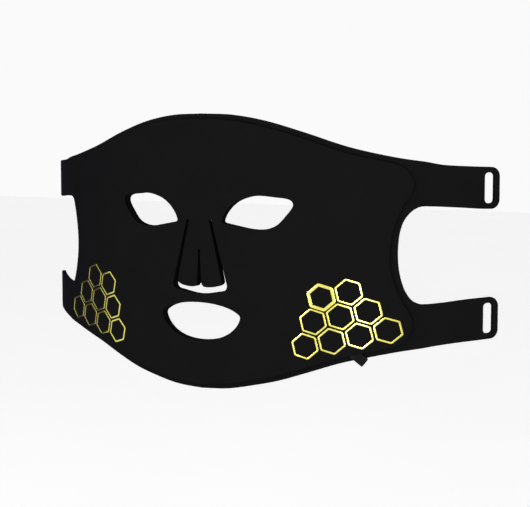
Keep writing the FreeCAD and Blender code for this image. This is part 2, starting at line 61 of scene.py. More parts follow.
CROWN = [(0, 92.0), (22, 91.2), (45, 87.4), (70, 80.1), (99, 70.2), (126, 63.6), (141.5, 60.9)]
NOTCH = [(139, 32.0), (135.6, 30.4), (132.4, 27.2), (129.8, 23.0), (127.8, 16.5),
         (126.8, 8.5), (126.6, 0.0), (127.2, -8.5), (128.6, -16.0), (131.0, -23.2),
         (134.4, -28.5), (138.6, -31.0)]
CHIN = [(141.5, -59.8), (128, -62.1), (112, -65.5), (94, -69.9), (73, -77.0), (55, -82.9),
        (38, -86.9), (20, -90.3), (0, -91.6)]
ARM_TOP = {1: [(165.0, 59.0), (182.0, 57.95), (200.1, 57.3)],
           -1: [(200.1, -55.35), (193.0, -55.8), (175.0, -57.1), (160.0, -58.8)]}
ARM_IN = {1: [(200.1, 30.0), (193.0, 30.15), (175.0, 31.3), (158.0, 32.1)],
          -1: [(154.0, -31.2), (165.0, -30.5), (182.0, -28.8), (200.1, -27.7)]}
ARM_END, ARM_CORNER = 206.3, 6.2
SLOT = (194.8, 202.1)
SLOT_CENTRE = {1: 43.7, -1: -41.6}
SLOT_HEIGHT, SLOT_CORNER = 20.0, 2.6
COVER_HALF = [(0, 88.6), (22, 87.8), (45, 84.0), (70, 76.8), (97, 67.4), (113, 63.2),
              (125, 60.6), (131.6, 57.4), (135.8, 52.2), (137.5, 45.5), (136.0, 39.8),
              (131.6, 32.6), (127.6, 21.6), (125.0, 9.5), (124.2, -1.0), (125.2, -10.5),
              (127.8, -20.5), (131.6, -29.6), (135.8, -37.6), (137.2, -44.5),
              (135.3, -52.0), (130.4, -57.4), (122, -59.9), (104, -64.2), (88, -68.8),
              (71, -74.7), (55, -79.7), (38, -83.6), (20, -86.9), (0, -88.3)]
EYE = [(16.8, 20.4), (18.7, 25.0), (22.3, 29.8), (27.4, 34.0), (33.2, 36.6), (42.6, 38.5),
       (54.7, 37.6), (62.0, 36.8), (65.5, 35.4), (66.4, 33.0), (65.0, 30.2),
       (61.2, 25.4), (56.2, 20.0), (50.8, 17.4), (44.5, 16.3), (38.0, 16.6),
       (27.5, 18.4), (16.8, 20.4)]
MOUTH_TOP = [(31.0, -41.2), (24.5, -37.3), (14.0, -34.4), (0, -33.3), (-14.0, -34.4),
             (-24.5, -37.3), (-31.0, -41.2)]
MOUTH_LOW = [(-31.0, -41.2), (-28.8, -46.8), (-23.0, -52.6), (-13.5, -56.9), (0, -58.6),
             (13.5, -56.9), (23.0, -52.6), (28.8, -46.8), (31.0, -41.2)]
NOSE = [(-9.6, 21.8), (9.6, 21.8), (21.9, -24.4), (0, -28.2), (-21.9, -24.4)]
NOSE_DEPTH = (0.0, 6.0)
TONGUE_TOP, TONGUE_LOW = 21.2, 5.0
FLAP_LOW = -22.9
LED_WINDOW, LENS_RADIUS, LENS_RISE = 2.8, 2.5, 0.6
HEX_PITCH, HEX_TILT, HEX_RADIUS = 16.85, math.radians(12.7), 8.4
HEX_FIRST = (84.1, -26.5)
HEX_CELLS = [(0, 0), (1, 0), (0, 1), (1, 1), (2, 1), (0, 2), (1, 2), (2, 2), (3, 2)]
HEX_LINE, HEX_KEY_LINE = 1.15, 2.0
PORT_AT, PORT_TILT = (114.3, -69.3, 3.1), math.radians(39.4)


# ---- plan profile -------------------------------------------------------

def plan_angle(s):
    q = abs(s)
    a = q / R1 if q <= SPAN else TURN + (q - SPAN) / R2
    return math.copysign(a, s)


def place(s, z, d):
    """Point of the bent sheet, in metres."""
    a = abs(plan_angle(s))
    if abs(s) <= SPAN:
        x = (R1 - d) * math.sin(a)
        y = R1 - (R1 - d) * math.cos(a)
    else:
        x = (R1 - R2) * math.sin(TURN) + (R2 - d) * math.sin(a)
        y = R1 - (R1 - R2) * math.cos(TURN) - (R2 - d) * math.cos(a)
    return Vector((math.copysign(x, s), y, z)) * 0.001


def along(x, d=0.0):
    """Distance along the sheet of a point at x on the layer at depth d."""
    q = abs(x)
    if q <= (R1 - d) * math.sin(TURN):
        s = R1 * math.asin(q / (R1 - d))
    else:
        a = math.asin((q - (R1 - R2) * math.sin(TURN)) / (R2 - d))
        s = SPAN + R2 * (a - TURN)
    return math.copysign(s, x)


def unrolled(points, d=0.0):
    return [(along(x, d), z) for x, z in points]


# ---- outlines -----------------------------------------------------------

def spline(points, closed=False, step=1.2):
    """Smooth line through the points, evenly stepped."""
    p = [Vector(q) for q in points]
    n = len(p)
    out = []
    for i in range(n if closed else n - 1):
        b, c = p[i], p[(i + 1) % n]
        a = p[i - 1] if closed or i > 0 else b * 2 - c
        e = p[(i + 2) % n] if closed or i + 2 < n else c * 2 - b
        ta = (b - a).length ** 0.5
        tb = (c - b).length ** 0.5
        tc = (e - c).length ** 0.5
        m1 = (c - b) + ((b - a) / ta - (c - a) / (ta + tb)) * tb
        m2 = (c - b) + ((e - c) / tc - (e - b) / (tb + tc)) * tb
        k = max(2, round((c - b).length / step))
        for j in range(k):
            t = j / k
            h = ((2 * t ** 3 - 3 * t ** 2 + 1) * b + (t ** 3 - 2 * t ** 2 + t) * m1
                 + (-2 * t ** 3 + 3 * t ** 2) * c + (t ** 3 - t ** 2) * m2)
            out.append((h.x, h.y))
    if not closed:
        out.append(tuple(p[-1]))
    return out


def arc(cx, cz, r, a0, a1, n=8):
    return [(cx + r * math.cos(math.radians(a0 + (a1 - a0) * i / n)),
             cz + r * math.sin(math.radians(a0 + (a1 - a0) * i / n))) for i in range(n + 1)]


def stepped(a, b, step=1.1):
    """Points from a towards b, evenly spaced; b itself is left out."""
    k = max(1, round(math.dist(a, b) / step))
    return [(a[0] + (b[0] - a[0]) * j / k, a[1] + (b[1] - a[1]) * j / k) for j in range(k)]


def rounded(points, radii, step=1.2):
    """Closed outline of straight lines with rounded corners."""
    n = len(points)
    out = []
    for i in range(n):
        p = Vector(points[i])
        u = (Vector(points[i - 1]) - p).normalized()
        w = (Vector(points[(i + 1) % n]) - p).normalized()
        r = radii[i] if isinstance(radii, list) else radii
        half = u.angle(w) / 2
        reach = r / math.tan(half)
        centre = p + (u + w).normalized() * (r / math.sin(half))
        a, b = p + u * reach, p + w * reach
        k = max(4, int(r * (math.pi - 2 * half) / step * 1.6))
        va, vb = a - centre, b - centre
        sweep = va.angle_signed(vb) * -1
        for j in range(k + 1):
            t = sweep * j / k
            c, s = math.cos(t), math.sin(t)
            q = centre + Vector((va.x * c - va.y * s, va.x * s + va.y * c))
            out.append((q.x, q.y))
    dense = []
    for a, b in zip(out, out[1:] + out[:1]):
        dense += stepped(a, b, step)
    return clean(dense)


def clean(points, least=0.04):
    out = []
    for p in points:
        if not out or math.dist(p, out[-1]) > least:
            out.append(p)
    if math.dist(out[0], out[-1]) < least:
        out.pop()
    return out


def soften(points, rounds=4):
    """Takes the sharpness out of the corners of a closed outline."""
    p = np.array(points)
    for _ in range(rounds):
        p = p * 0.5 + (np.roll(p, 1, 0) + np.roll(p, -1, 0)) * 0.25
    return [tuple(q) for q in p]


def area(points):
    return sum(a[0] * b[1] - b[0] * a[1] for a, b in zip(points, points[1:] + points[:1])) / 2


def turned(points, left=True):
    return points if (area(points) > 0) == left else points[::-1]


def normals(points):
    """Unit normals to the left of travel along a closed outline."""
    p = np.array(points)
    t = np.roll(p, -1, 0) - np.roll(p, 1, 0)
    t /= np.linalg.norm(t, axis=1)[:, None]
    return np.stack([-t[:, 1], t[:, 0]], -1)


def grown(points, amount):
    """Closed outline moved outwards."""
    p = turned(points)
    return [tuple(q) for q in np.array(p) - normals(p) * amount]


def flipped(points):
    return [(-s, z) for s, z in points][::-1]


def within(points, outline):
    """True for each point inside a closed outline."""
    q = np.asarray(points)
    a = np.asarray(outline)
    b = np.roll(a, -1, 0)
    x, z = q[:, 0][:, None], q[:, 1][:, None]
    crosses = (a[:, 1] > z) != (b[:, 1] > z)
    with np.errstate(divide="ignore", invalid="ignore"):
        cut = a[:, 0] + (z - a[:, 1]) * (b[:, 0] - a[:, 0]) / (b[:, 1] - a[:, 1])
    return (crosses & (x < cut)).sum(1) % 2 == 1


def clear_of(points, outline, gap):
    q = np.asarray(points)
    a = np.asarray(outline)
    near = np.full(len(q), 1e9)
    for i in range(0, len(a), 200):
        d = np.linalg.norm(q[:, None, :] - a[None, i:i + 200], axis=2).min(1)
        near = np.minimum(near, d)
    return near > gap


cover_line = soften(spline(unrolled(COVER_HALF + [(-x, z) for x, z in COVER_HALF[-2:0:-1]]),
                           True, 1.3), 2)
eye_left = soften(clean(spline(unrolled(EYE), step=0.9)), 5)
eye_right = flipped(eye_left)
mouth = soften(clean(spline(unrolled(MOUTH_TOP), step=0.9)
                     + spline(unrolled(MOUTH_LOW), step=0.9)), 6)
nose = rounded(unrolled(NOSE), [0.7, 0.7, 3.5, 40.0, 3.5], 0.9)
liner_line = grown(cover_line, -2.5)


def slit_x(z):
    """Outer edge of the nose tongue at height z."""
    return 8.3 + (20.0 - z) * 0.229


def carrier_edge():
    """The carrier and arm silhouette on the wearer's left, crown to chin."""
    r = ARM_CORNER
    end = ARM_END - r
    line = spline(unrolled(CROWN, MID) + ARM_TOP[1])
    line += arc(end, ARM_TOP[1][-1][1] - r, r, 90, 0)
    line += arc(end, ARM_IN[1][0][1] + r, r, 0, -90)
    line += spline(ARM_IN[1] + unrolled(NOTCH, MID) + ARM_IN[-1])
    line += arc(end, ARM_IN[-1][-1][1] - r, r, 90, 0)
    line += arc(end, ARM_TOP[-1][0][1] + r, r, 0, -90)
    line += spline(ARM_TOP[-1] + unrolled(CHIN, MID))
    dense = []
    for a, b in zip(line, line[1:]):
        dense += stepped(a, b, 1.3)
    return clean(dense + [line[-1]])


def cut_runs(line, limit):
    """Splits an open line where it crosses s = limit; each run keeps its cut ends."""
    runs, run = [], [line[0]]
    for a, b in zip(line, line[1:]):
        if (a[0] < limit) != (b[0] < limit):
            t = (limit - a[0]) / (b[0] - a[0])
            p = (limit, a[1] + (b[1] - a[1]) * t)
            run.append(p)
            runs.append(run)
            run = [p]
        run.append(b)
    runs.append(run)
    return [clean_open(r) for r in runs]


def clean_open(run, least=0.5):
    out = [run[0]]
    for p in run[1:-1]:
        if math.dist(p, out[-1]) > least and math.dist(p, run[-1]) > least:
            out.append(p)
    return out + [run[-1]]


crown_run, upper_run, notch_run, lower_run, chin_run = cut_runs(carrier_edge(), SEAM)


def seam_points(a, b, inset=1.6, step=2.0):
    """Points between two cut ends, clear of the rounded edges."""
    (s0, z0), (s1, z1) = a, b
    length = math.dist(a, b)
    k = max(1, round((length - 2 * inset) / step))
    ts = [(inset + (length - 2 * inset) * j / k) / length for j in range(k + 1)]
    return [(s0 + (s1 - s0) * t, z0 + (z1 - z0) * t) for t in ts]


# ---- sheet builder ------------------------------------------------------

def grid(outline, pitch):
    a = np.array(outline)
    lo, hi = a.min(0), a.max(0)
    points = []
    row = 0
    z = lo[1] + pitch * 0.4
    while z < hi[1]:
        s = lo[0] + pitch * (0.5 if row % 2 else 0.0) + 0.31
        while s < hi[0]:
            points.append((s, z))
            s += pitch
        z += pitch * 0.866
        row += 1
    return points


class Loop:
    """A closed boundary. Kinds: 0 free edge, 1 cut corner, 2 inside a cut."""

    def __init__(self, points, kinds=None, hole=False, front=0.8, back=0.6, cap=None):
        n = len(points)
        kinds = kinds or [0] * n
        if (area(points) > 0) == hole:
            points, kinds = points[::-1], kinds[::-1]
        self.p = np.array(points)
        self.kinds = kinds
        self.front, self.back, self.cap = front, back, cap
        self.n = normals(points)
        for i, k in enumerate(kinds):
            if k != 1:
                continue
            way = 1 if kinds[(i + 1) % n] == 2 else -1
            cut = self.p[(i + way) % n] - self.p[i]
            cut /= np.linalg.norm(cut)
            t = (self.p[i] - self.p[i - way if way > 0 else (i + 1) % n]) * way
            own = np.array([-t[1], t[0]]) / np.linalg.norm(t)
            bent = cut / max(0.3, float(cut @ own))
            self.n[i] = bent
            for step in range(1, 5):
                j = (i - way * step) % n
                if kinds[j] == 0:
                    self.n[j] += (bent - own) * (1 - step / 5)

    def ring(self, offset):
        free = np.array([0.0 if k == 2 else 1.0 for k in self.kinds])
        return self.p + self.n * (offset * free)[:, None]


def sheet(mesh, loops, d0, d1, pitch=3.4, extra=(), dome=None, steps=5, shade_slot=0):
    """Adds a bent sheet with rounded edges to a bmesh. loops[0] is its outline."""
    profiles = []
    for loop in loops:
        rf, rb = loop.front, loop.back
        rows = []
        for i in range(steps + 1):
            a = math.pi / 2 * i / steps
            rows.append((rf * (1 - math.sin(a)), d0 + rf * (1 - math.cos(a))))
        rows.append((0.0, (d0 + rf + d1 - rb) / 2))
        for i in range(steps, -1, -1):
            a = math.pi / 2 * i / steps
            rows.append((rb * (1 - math.sin(a)), d1 - rb * (1 - math.cos(a))))
        grid_rows = []
        last = len(rows) - 1
        for k, (offset, d) in enumerate(rows):
            ring = loop.ring(offset)
            row = []
            for i, (s, z) in enumerate(ring):
                depth = d
                if loop.kinds[i] == 2:
                    depth = d0 if k < len(rows) / 2 else d1
                row.append(mesh.verts.new(place(s, z, depth)))
            grid_rows.append(row)
        n = len(loop.p)
        for i in range(n):
            j = (i + 1) % n
            if loop.kinds[i] and loop.kinds[j]:
                if loop.cap is not None and loop.p[i][1] > loop.cap:
                    ends = [loop.p[i], loop.p[j]]
                    face = [mesh.verts.new(place(*q, d0 + 0.3)) for q in ends]
                    face += [mesh.verts.new(place(*q, d1 - 0.01)) for q in ends[::-1]]
                    mesh.faces.new(face[::-1])
                continue
            for k in range(last):
                a, b = grid_rows[k][i], grid_rows[k][j]
                c, e = grid_rows[k + 1][j], grid_rows[k + 1][i]
                face = mesh.faces.new((a, e, c, b))
                # Faces of the cut walls take the wall material slot: a darker silicone that is
                # painted shade.
                if shade_slot and k >= steps - 1:
                    face.material_index = shade_slot
        profiles.append(grid_rows)
    for side in (0, -1):
        rings = [loop.ring(loop.front if side == 0 else loop.back) for loop in loops]
        outer = rings[0]
        points = np.array(grid(outer, pitch) + list(extra))
        keep = within(points, outer) & clear_of(points, outer, 1.1)
        for ring in rings[1:]:
            keep &= ~within(points, ring) & clear_of(points, ring, 1.1)
        points = points[keep]
        flat, edges, owners = [], [], []
        for ring, rows in zip(rings, profiles):
            first = len(flat)
            m = len(ring)
            flat += [Vector(q) for q in ring]
            edges += [(first + i, first + (i + 1) % m) for i in range(m)]
            owners += rows[side]
        flat += [Vector(q) for q in points]
        level = d0 if side == 0 else d1
        for s, z in points:
            d = level
            if dome is not None and side == -1:
                d = level + dome(s, z)
            owners.append(mesh.verts.new(place(s, z, d)))
        out = delaunay_2d_cdt(flat, edges, [], 0, 1e-5)
        tri = [f for f in out[2] if len(f) == 3]
        where = [o[0] if o else None for o in out[3]]
        if None in where:
            at = [tuple(round(c, 1) for c in v) for v, w in zip(out[0], where) if w is None]
            raise ValueError("crossing outlines at %s" % at[:6])
        mid = np.array([[sum(out[0][i][0] for i in f) / 3, sum(out[0][i][1] for i in f) / 3]
                        for f in tri])
        ok = within(mid, outer)
        for ring in rings[1:]:
            ok &= ~within(mid, ring)
        for f, good in zip(tri, ok):
            if not good:
                continue
            v = [owners[where[i]] for i in f]
            a, b, c = [out[0][i] for i in f]
            left = (b - a).cross(c - a) > 0
            if left != (side == 0):
                v.reverse()
            try:
                mesh.faces.new(v)
            except ValueError:
                pass


def finished(name, mesh, materials):
    """Turns a bmesh into a smooth-shaded object of the scene."""
    bmesh.ops.remove_doubles(mesh, verts=mesh.verts, dist=2e-6)
    loose = [v for v in mesh.verts if not v.link_faces]
    bmesh.ops.delete(mesh, geom=loose, context="VERTS")
    data = bpy.data.meshes.new(name)
    mesh.to_mesh(data)
    mesh.free()
    for m in materials:
        data.materials.append(m)
    data.polygons.foreach_set("use_smooth", [True] * len(data.polygons))
    obj = bpy.data.objects.new(name, data)
    bpy.context.scene.collection.objects.link(obj)
    return obj


# ---- materials ----------------------------------------------------------

class Shader:
    """Small helper that wires a procedural material."""

    def __init__(self, name, **sockets):
        self.m = bpy.data.materials.new(name)
        self.m.use_nodes = True
        self.nodes = self.m.node_tree.nodes
        self.links = self.m.node_tree.links
        self.bsdf = self.nodes["Principled BSDF"]
        self.coord = self.nodes.new("ShaderNodeTexCoord").outputs["Object"]
        for key, value in sockets.items():
            self.bsdf.inputs[key.replace("_", " ")].default_value = value

    def noise(self, scale, detail=4.0, rough=0.55, stretch=None):
        n = self.nodes.new("ShaderNodeTexNoise")
        n.inputs["Scale"].default_value = scale
        n.inputs["Detail"].default_value = detail
        n.inputs["Roughness"].default_value = rough
        source = self.coord
        if stretch:
            m = self.nodes.new("ShaderNodeMapping")
            m.inputs["Scale"].default_value = stretch
            self.links.new(source, m.inputs["Vector"])
            source = m.outputs["Vector"]
        self.links.new(source, n.inputs["Vector"])
        return n.outputs["Fac"]

    def ramp(self, source, stops):
        r = self.nodes.new("ShaderNodeValToRGB")
        e = r.color_ramp.elements
        while len(e) < len(stops):
            e.new(0.5)
        for item, (at, colour) in zip(e, stops):
            item.position = at
            item.color = (*colour, 1.0) if len(colour) == 3 else colour
        self.links.new(source, r.inputs["Fac"])
        return r.outputs["Color"]

    def spread(self, source, low, high, a=0.3, b=0.7):
        m = self.nodes.new("ShaderNodeMapRange")
        m.inputs["From Min"].default_value = a
        m.inputs["From Max"].default_value = b
        m.inputs["To Min"].default_value = low
        m.inputs["To Max"].default_value = high
        self.links.new(source, m.inputs["Value"])
        return m.outputs["Result"]

    def mix(self, fac, a, b):
        m = self.nodes.new("ShaderNodeMix")
        m.data_type = "RGBA"
        self.links.new(fac, m.inputs["Factor"])
        for key, value in ((6, a), (7, b)):
            if isinstance(value, tuple):
                m.inputs[key].default_value = (*value, 1.0)
            else:
                self.links.new(value, m.inputs[key])
        return m.outputs[2]

    def edge(self, low=0.52, high=0.62):
        g = self.nodes.new("ShaderNodeNewGeometry")
        return self.spread(g.outputs["Pointiness"], 0.0, 1.0, low, high)

    def math(self, kind, a, b):
        m = self.nodes.new("ShaderNodeMath")
        m.operation = kind
        for i, v in enumerate((a, b)):
            if isinstance(v, (int, float)):
                m.inputs[i].default_value = v
            else:
                self.links.new(v, m.inputs[i])
        return m.outputs[0]

    def put(self, source, socket):
        self.links.new(source, self.bsdf.inputs[socket])

    def bump(self, layers):
        """layers: (height, distance in metres, strength), added one on another."""
        normal = None
        for height, distance, strength in layers:
            b = self.nodes.new("ShaderNodeBump")
            b.inputs["Distance"].default_value = distance
            b.inputs["Strength"].default_value = strength
            self.links.new(height, b.inputs["Height"])
            if normal is not None:
                self.links.new(normal, b.inputs["Normal"])
            normal = b.outputs["Normal"]
        self.links.new(normal, self.bsdf.inputs["Normal"])


def silicone(name, tone, rough=0.62, specular=0.05):
    m = Shader(name, Specular_IOR_Level=specular)
    haze = m.noise(34.0, 5.0, 0.6)
    fine = m.noise(2600.0, 3.0, 0.6)
    specks = m.noise(900.0, 2.0, 0.5)
    a, b = [tone * k for k in (0.82, 0.82, 0.86)], [tone * k for k in (1.25, 1.25, 1.28)]
    colour = m.ramp(haze, [(0.30, a), (0.72, b)])
    dust = m.spread(specks, 0.0, 0.35, 0.70, 0.80)
    colour = m.mix(dust, colour, (tone * 3.2, tone * 3.2, tone * 3.3))
    worn = m.math("MULTIPLY", m.edge(), 0.30)
    colour = m.mix(worn, colour, (tone * 3.0, tone * 3.0, tone * 3.1))
    m.put(colour, "Base Color")
    m.put(m.spread(haze, rough - 0.06, rough + 0.08), "Roughness")
    m.bump([(fine, 0.00002, 0.5), (m.noise(420.0, 4.0, 0.5), 0.00004, 0.35)])
    return m.m


def plastic(name, low, high, rough=0.45, grain=1800.0, specular=0.5):
    m = Shader(name, Specular_IOR_Level=specular)
    cloud = m.noise(160.0, 4.0)
    colour = m.ramp(cloud, [(0.3, low), (0.7, high)])
    m.put(m.mix(m.math("MULTIPLY", m.edge(), 0.4), colour,
                tuple(min(1.0, c * 1.8 + 0.02) for c in high)), "Base Color")
    m.put(m.spread(cloud, rough - 0.07, rough + 0.07), "Roughness")
    m.bump([(m.noise(grain, 3.0), 0.00002, 0.5)])
    return m.m


def metal(name, low, high, rough=0.18, brush=None, dents=0.4):
    m = Shader(name, Metallic=1.0)
    cloud = m.noise(220.0, 4.0)
    m.put(m.ramp(cloud, [(0.3, low), (0.7, high)]), "Base Color")
    m.put(m.spread(m.noise(700.0, 3.0), rough * 0.6, rough * 1.5), "Roughness")
    m.bump([(m.noise(1500.0, 2.0, 0.5, brush), 0.000012, dents)])
    return m.m


COVER_M = silicone("cover_silicone", 0.0032)
CARRIER_M = silicone("carrier_silicone", 0.0034, 0.66)
NOSE_M = silicone("nose_silicone", 0.0032)
# A darker silicone for the walls of cut openings and slots: painted shade on these walls, not a
# different silicone.
WALL_SHADE_M = silicone("cut_wall_painted_shade", 0.0028, 0.75, 0.02)
GOLD_M = metal("gold_trim", (0.70, 0.64, 0.10), (0.86, 0.80, 0.20), 0.13,
               dents=0.12)
NICKEL_M = metal("port_metal", (0.55, 0.55, 0.54), (0.75, 0.75, 0.73), 0.2, (1, 1, 8))
BRASS_M = metal("contact_metal", (0.70, 0.50, 0.20), (0.85, 0.66, 0.32), 0.25)
PORT_M = plastic("port_plastic", (0.0032, 0.0032, 0.0034), (0.006, 0.006, 0.0064), 0.6,
                 1800.0, 0.06)
FLEX_M = plastic("flex_film", (0.33, 0.13, 0.02), (0.48, 0.21, 0.04), 0.3, 900.0)
BOARD_M = plastic("board_laminate", (0.01, 0.09, 0.03), (0.02, 0.15, 0.06), 0.35, 1200.0)
CHIP_M = plastic("chip_resin", (0.012, 0.012, 0.012), (0.02, 0.02, 0.021), 0.55, 2400.0)
RESISTOR_M = plastic("resistor_ceramic", (0.05, 0.05, 0.055), (0.5, 0.48, 0.45), 0.4)
LEAD_RED_M = plastic("lead_red_jacket", (0.32, 0.012, 0.01), (0.45, 0.02, 0.016), 0.4)
LEAD_BLACK_M = plastic("lead_black_jacket", (0.008, 0.008, 0.008), (0.015, 0.015, 0.015), 0.4)
PACKAGE_M = plastic("led_package", (0.68, 0.66, 0.60), (0.82, 0.80, 0.74), 0.4)


def lens_material(name, low, high):
    m = Shader(name, Transmission_Weight=0.35, IOR=1.45, Coat_Weight=0.6)
    cloud = m.noise(900.0, 3.0)
    m.put(m.ramp(cloud, [(0.3, low), (0.7, high)]), "Base Color")
    m.put(m.spread(cloud, 0.08, 0.2), "Roughness")
    m.bump([(m.noise(2500.0, 2.0), 0.00001, 0.3)])
    return m.m


RED_M = lens_material("led_red", (0.62, 0.42, 0.10), (0.78, 0.58, 0.20))
INFRA_M = lens_material("led_infrared", (0.20, 0.16, 0.22), (0.34, 0.28, 0.36))


def liner_material():
    m = Shader("liner_silicone", Alpha=0.34, Specular_IOR_Level=0.4)
    cloud = m.noise(60.0, 5.0, 0.6)
    m.put(m.ramp(cloud, [(0.3, (0.20, 0.20, 0.21)), (0.7, (0.26, 0.26, 0.265))]), "Base Color")
    m.put(m.spread(cloud, 0.24, 0.36), "Roughness")
    m.bump([(m.noise(2200.0, 3.0), 0.00002, 0.5)])
    return m.m


LINER_M = liner_material()


# ---- front cover --------------------------------------------------------

def nose_hole():
    """Nose opening of the cover; its top is cut where the tongue joins."""
    top = TONGUE_TOP
    edge = slit_x(top)
    r = (9.6 + (21.8 - top) * 0.2662 - edge) / 2
    right = [(edge + r - x, z) for x, z in arc(0.0, top, r, 0, 180)]
    side = [p for p in nose if p[1] < top - 0.6]
    rights = sorted((p for p in side if p[0] > 0 and p[1] > -24), key=lambda p: -p[1])
    lefts = sorted((p for p in side if p[0] < 0 and p[1] > -24), key=lambda p: p[1])
    floor = sorted((p for p in side if p[1] <= -24), key=lambda p: -p[0])
    loop = right + rights + floor + lefts + [(-s, z) for s, z in right[::-1]]
    kinds = [1] + [0] * (len(loop) - 2) + [1]
    mid = seam_points((edge, top), (-edge, top), 1.2, 1.6)[::-1]
    return loop + mid, kinds + [2] * len(mid)


def build_cover():
    mesh = bmesh.new()
    hole, kinds = nose_hole()
    loops = [Loop(cover_line, front=1.0, back=0.2),
             Loop(eye_left, hole=True, front=0.7, back=0.15),
             Loop(eye_right, hole=True, front=0.7, back=0.15),
             Loop(mouth, hole=True, front=0.7, back=0.15),
             Loop(hole, kinds, hole=True, front=0.5, back=0.4)]
    sheet(mesh, loops, *COVER, shade_slot=1)
    obj = finished("front_cover_skin", mesh, [COVER_M, WALL_SHADE_M])
    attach(obj, "mask_panel")
    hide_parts("front_cover")


# ---- nose tongue and flaps ----------------------------------------------

def build_tongue():
    mesh = bmesh.new()
    top, low = TONGUE_TOP, TONGUE_LOW
    a, b = slit_x(top), slit_x(low)
    loop = stepped((a, top), (b, low))
    kinds = [1] + [0] * (len(loop) - 1)
    mid = seam_points((b, low), (-b, low), 1.2, 1.6)
    loop += [(b, low)] + mid + [(-b, low)]
    kinds += [1] + [2] * len(mid) + [1]
    side = stepped((-b, low), (-a, top))[1:]
    loop += side + [(-a, top)]
    kinds += [0] * len(side) + [1]
    mid = seam_points((-a, top), (a, top), 1.2, 1.6)
    loop += mid
    kinds += [2] * len(mid)
    sheet(mesh, [Loop(loop, kinds, front=0.5, back=0.4, cap=20.0)], *NOSE_DEPTH, pitch=2.2,
          shade_slot=1)
    obj = finished("nose_tongue_skin", mesh, [NOSE_M, WALL_SHADE_M])
    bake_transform(obj)
    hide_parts("nose_tongue")


def build_flap(side):
    name = "left" if side > 0 else "right"
    top, low = TONGUE_LOW, FLAP_LOW
    w, w_low = 0.55, 1.6  # half widths of the centre slit, at its top and foot
    a, b = slit_x(top), slit_x(low)
    loop = stepped((a, top), (b - 0.9, low + 4.0))
    kinds = [1] + [0] * (len(loop) - 1)
    foot = spline([(b - 0.95, low + 3.8), (b - 1.5, low + 2.4), (b - 3.4, low + 1.2),
                   (b - 7.0, low + 0.3), (w_low + 4.0, low - 0.1), (w_low + 1.4, low + 0.5),
                   (w_low + 0.1, low + 2.4)], step=1.0)
    foot += stepped((w_low, low + 3.0), (w, 1.4)) + arc(0.0, 2.0, w, 0, 90, 5)[1:-1]
    loop += foot
    kinds += [0] * len(foot)
    loop.append((0.0, 2.0 + w))
    kinds.append(1)
    mid = [(0.0, 4.2), (0.0, top)] + seam_points((0.0, top), (a, top), 1.2, 1.6)
    loop += mid
    kinds += [2] * len(mid)
    loop = [(side * s, z) for s, z in loop]
    mesh = bmesh.new()
    sheet(mesh, [Loop(loop, kinds, front=0.5, back=0.4)], *NOSE_DEPTH, pitch=2.2, shade_slot=1)
    obj = finished("nose_flap_%s_skin" % name, mesh, [NOSE_M, WALL_SHADE_M])
    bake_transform(obj)
    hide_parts("nose_flap_" + name)


# ---- carrier, arms, liner -----------------------------------------------

def led_centres():
    """(s, z, kind) of each light emitter, read from the frame's own solids."""
    found = []
    for kind, node in (("red", "leds_red"), ("infrared", "leds_infrared")):
        data = nodes[node].data
        group = list(range(len(data.vertices)))

        def root(i):
            while group[i] != i:
                group[i] = group[group[i]]
                i = group[i]
            return i

        seen = {}
        for v in data.vertices:
            key = tuple(round(c, 5) for c in v.co)
            if key in seen:
                group[root(v.index)] = root(seen[key])
            seen[key] = v.index
        for e in data.edges:
            group[root(e.vertices[0])] = root(e.vertices[1])
        islands = {}
        for v in data.vertices:
            islands.setdefault(root(v.index), []).append(v.co)
        for points in islands.values():
            lo = Vector([min(p[i] for p in points) for i in range(3)])
            hi = Vector([max(p[i] for p in points) for i in range(3)])
            c = (lo + hi) / 2 * 1000
            found.append((along(c.x, 3.75), c.z, kind))
    return sorted(found)


LEDS = led_centres()


def carrier_loop():
    """Outline of the carrier, cut straight across where the four arms begin."""
    runs = (crown_run, notch_run, chin_run)
    last = len(runs) - 1
    half, kinds = [], []
    for n, run in enumerate(runs):
        half += run
        kinds += [1 if n > 0 else 0] + [0] * (len(run) - 2) + [1 if n < last else 0]
        if n < last:
            mid = seam_points(run[-1], runs[n + 1][0])
            half += mid
            kinds += [2] * len(mid)
    loop = half + [(-s, z) for s, z in half[-2:0:-1]]
    return Loop(loop, kinds + kinds[-2:0:-1], front=0.9, back=0.8)


def build_carrier():
    mesh = bmesh.new()
    room = grown(liner_line, 0.3)
    rim = [carrier_loop(), Loop(room, hole=True, front=0.1, back=0.4)]
    sheet(mesh, rim, *CARRIER, shade_slot=1)
    openings = [(eye_left, 2.7), (eye_right, 2.7), (nose, 1.3), (mouth, 2.7)]
    for line, lip in openings:
        sheet(mesh, [Loop(grown(line, lip), front=0.1, back=0.4),
                     Loop(line, hole=True, front=0.15, back=0.6)], *CARRIER, shade_slot=1)
    web = [Loop(grown(liner_line, 1.6), front=0.1, back=0.1)]
    for line, lip in openings:
        web.append(Loop(grown(line, lip - 0.7), hole=True, front=0.1, back=0.1))
    for s, z, _ in LEDS:
        web.append(Loop(arc(s, z, LED_WINDOW, 0, 345, 23), hole=True, front=0.1, back=0.25))
    sheet(mesh, web, *WEB, steps=3)
    obj = finished("carrier_skin", mesh, [CARRIER_M, WALL_SHADE_M])
    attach(obj, "mask_panel")
    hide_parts("carrier_shell")


